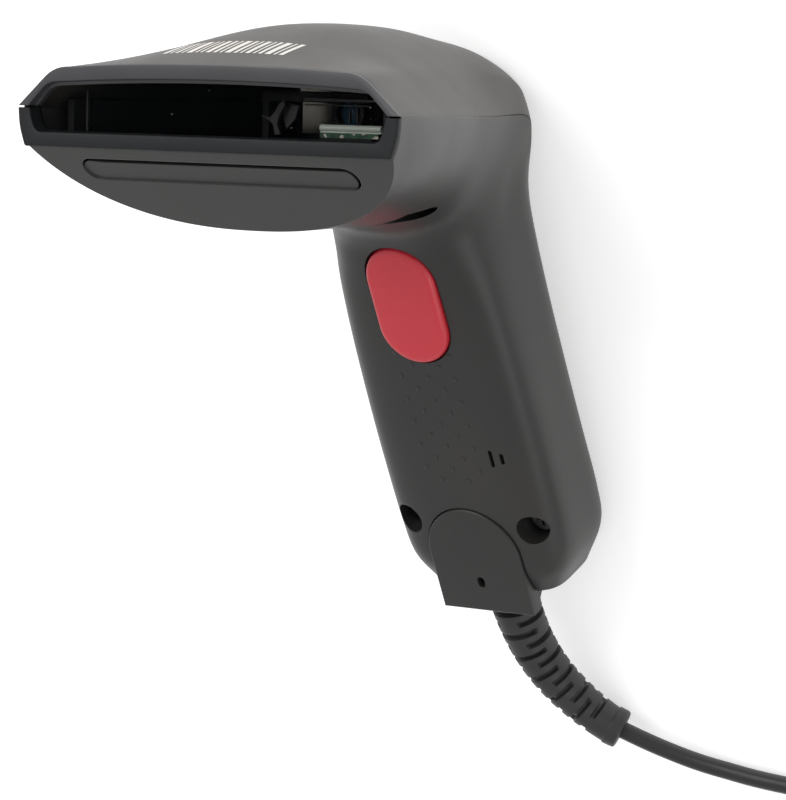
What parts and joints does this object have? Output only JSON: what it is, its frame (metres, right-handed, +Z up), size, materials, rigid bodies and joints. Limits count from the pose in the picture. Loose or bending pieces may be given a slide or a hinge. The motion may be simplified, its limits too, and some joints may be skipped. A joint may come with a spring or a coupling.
{
  "type": "handheld barcode scanner",
  "caption": "Corded handheld contact barcode scanner with a wide scan head, pistol handle, push trigger, strain relief and coiled USB cord.",
  "frame": {"origin": "centre of the bottom of the scanner's box, without its cord, as it lies on its back on a table", "axes": "+Z up from the table, +Y from the cable end towards the scan window, +X across the head; the handle's front and its trigger face up"},
  "size_m": [0.1952, 0.204, 0.094],
  "materials": {
    "front_cover": "satin",
    "rear_cover": "satin",
    "window_frame": "fine grain",
    "clear_window": "clear",
    "black_inner": "matte",
    "mirror_glass": "polished",
    "lens_glass": "coated",
    "sensor_package": "satin",
    "circuit_board": "solder mask",
    "lamp_red": "clear red",
    "clear_bar": "clear",
    "screw_steel": "machined",
    "dark_part": "matte",
    "clear_plug": "clear",
    "trigger_red": "satin gloss",
    "plunger_white": "satin",
    "cable_cover": "satin",
    "cord_rubber": "satin",
    "tie_black": "matte",
    "plug_metal": "plated"
  },
  "bodies": {
    "scanner": {"front_housing": "front_cover", "rear_housing": "rear_cover", "upper_window_trim": "window_frame", "lower_window_trim": "window_frame", "scan_window": "clear_window", "housing_screws": "screw_steel", "optics_chassis": "black_inner", "optics_mirror": "mirror_glass", "lens_barrel": "dark_part", "lens": "lens_glass", "image_sensor": "sensor_package", "sensor_board": "circuit_board", "led_board": "circuit_board", "leds": "lamp_red", "light_guide": "clear_bar", "main_board": "circuit_board", "board_screws": "screw_steel", "trigger_switch": "dark_part", "buzzer": "dark_part", "cable_socket": "dark_part", "cable_plug": "clear_plug", "cable_cover": "cable_cover", "strain_relief": "cord_rubber", "cord_tube": "cord_rubber", "cord_tail": "cord_rubber", "cord_coil": "cord_rubber", "coil_tie": "tie_black", "usb_plug_body": "dark_part", "usb_plug_shell": "plug_metal"},
    "trigger": {"trigger_button": "trigger_red", "switch_plunger": "plunger_white"}
  },
  "joints": [
    {"name": "trigger_press", "type": "slide", "parent": "scanner", "child": "trigger", "axis": [0, 0.1271, -0.9919], "range_m": [0, 0.0009], "stiffness_N_per_m": 600, "springref_m": -0.001}
  ]
}
